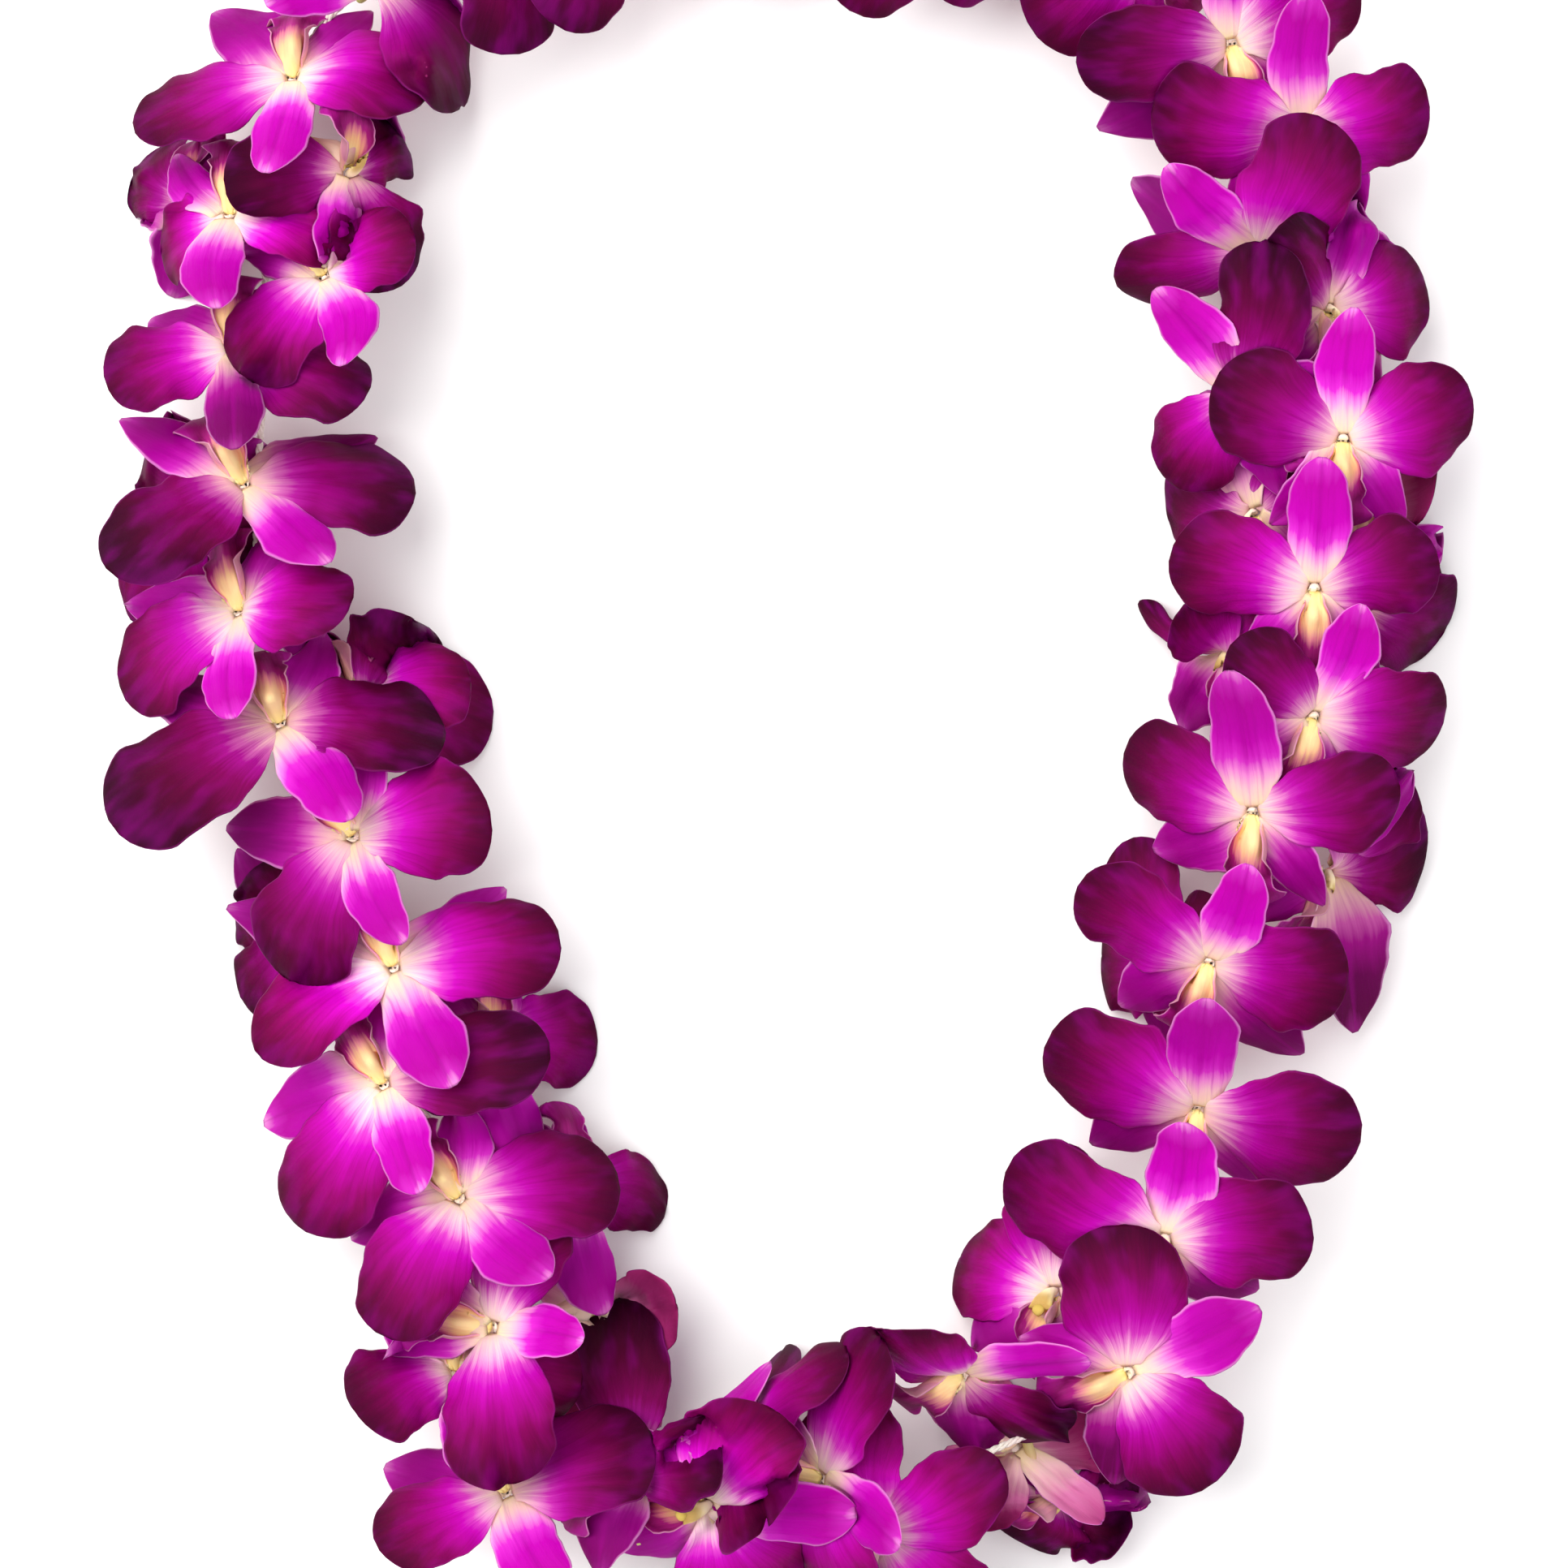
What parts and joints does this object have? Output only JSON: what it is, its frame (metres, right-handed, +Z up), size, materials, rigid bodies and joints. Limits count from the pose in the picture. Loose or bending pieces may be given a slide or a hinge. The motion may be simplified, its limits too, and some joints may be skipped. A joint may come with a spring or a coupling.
{
  "type": "fresh flower lei",
  "caption": "Closed garland of purple and white dendrobium orchid blossoms threaded in one strand on a string, lying flat as an open loop.",
  "frame": {"origin": "middle of the footprint, on the surface the lei lies on", "axes": "+Z up from the surface, +Y along the long way of the loop towards its rounder end, +X to the right seen from above"},
  "size_m": [0.2938, 0.4148, 0.0502],
  "materials": {
    "front_petal": "soft satin petal, magenta with white base",
    "side_petal": "soft satin petal, darker magenta",
    "cotton": "twisted cotton"
  },
  "bodies": {
    "root": {"front_blossom_01": "front_petal", "front_blossom_02": "front_petal", "front_blossom_03": "front_petal", "front_blossom_04": "front_petal", "front_blossom_05": "front_petal", "front_blossom_06": "front_petal", "front_blossom_07": "front_petal", "front_blossom_08": "front_petal", "front_blossom_09": "front_petal", "front_blossom_10": "front_petal", "front_blossom_11": "front_petal", "front_blossom_12": "front_petal", "front_blossom_13": "front_petal", "front_blossom_14": "front_petal", "front_blossom_15": "front_petal", "front_blossom_16": "front_petal", "front_blossom_17": "front_petal", "front_blossom_18": "front_petal", "front_blossom_19": "front_petal", "front_blossom_20": "front_petal", "front_blossom_21": "front_petal", "front_blossom_22": "front_petal", "front_blossom_23": "front_petal", "front_blossom_24": "front_petal", "front_blossom_25": "front_petal", "front_blossom_26": "front_petal", "front_blossom_27": "front_petal", "front_blossom_28": "front_petal", "front_blossom_29": "front_petal", "front_blossom_30": "front_petal", "front_blossom_31": "front_petal", "front_blossom_32": "front_petal", "front_blossom_33": "front_petal", "front_blossom_34": "front_petal", "front_blossom_35": "front_petal", "front_blossom_36": "front_petal", "front_blossom_37": "front_petal", "front_blossom_38": "front_petal", "side_blossom_01": "side_petal", "side_blossom_02": "side_petal", "side_blossom_03": "side_petal", "side_blossom_04": "side_petal", "side_blossom_05": "side_petal", "side_blossom_06": "side_petal", "side_blossom_07": "side_petal", "side_blossom_08": "side_petal", "side_blossom_09": "side_petal", "side_blossom_10": "side_petal", "side_blossom_11": "side_petal", "side_blossom_12": "side_petal", "side_blossom_13": "side_petal", "side_blossom_14": "side_petal", "side_blossom_15": "side_petal", "side_blossom_16": "side_petal", "side_blossom_17": "side_petal", "side_blossom_18": "side_petal", "side_blossom_19": "side_petal", "side_blossom_20": "side_petal", "side_blossom_21": "side_petal", "string": "cotton"}
  },
  "joints": []
}
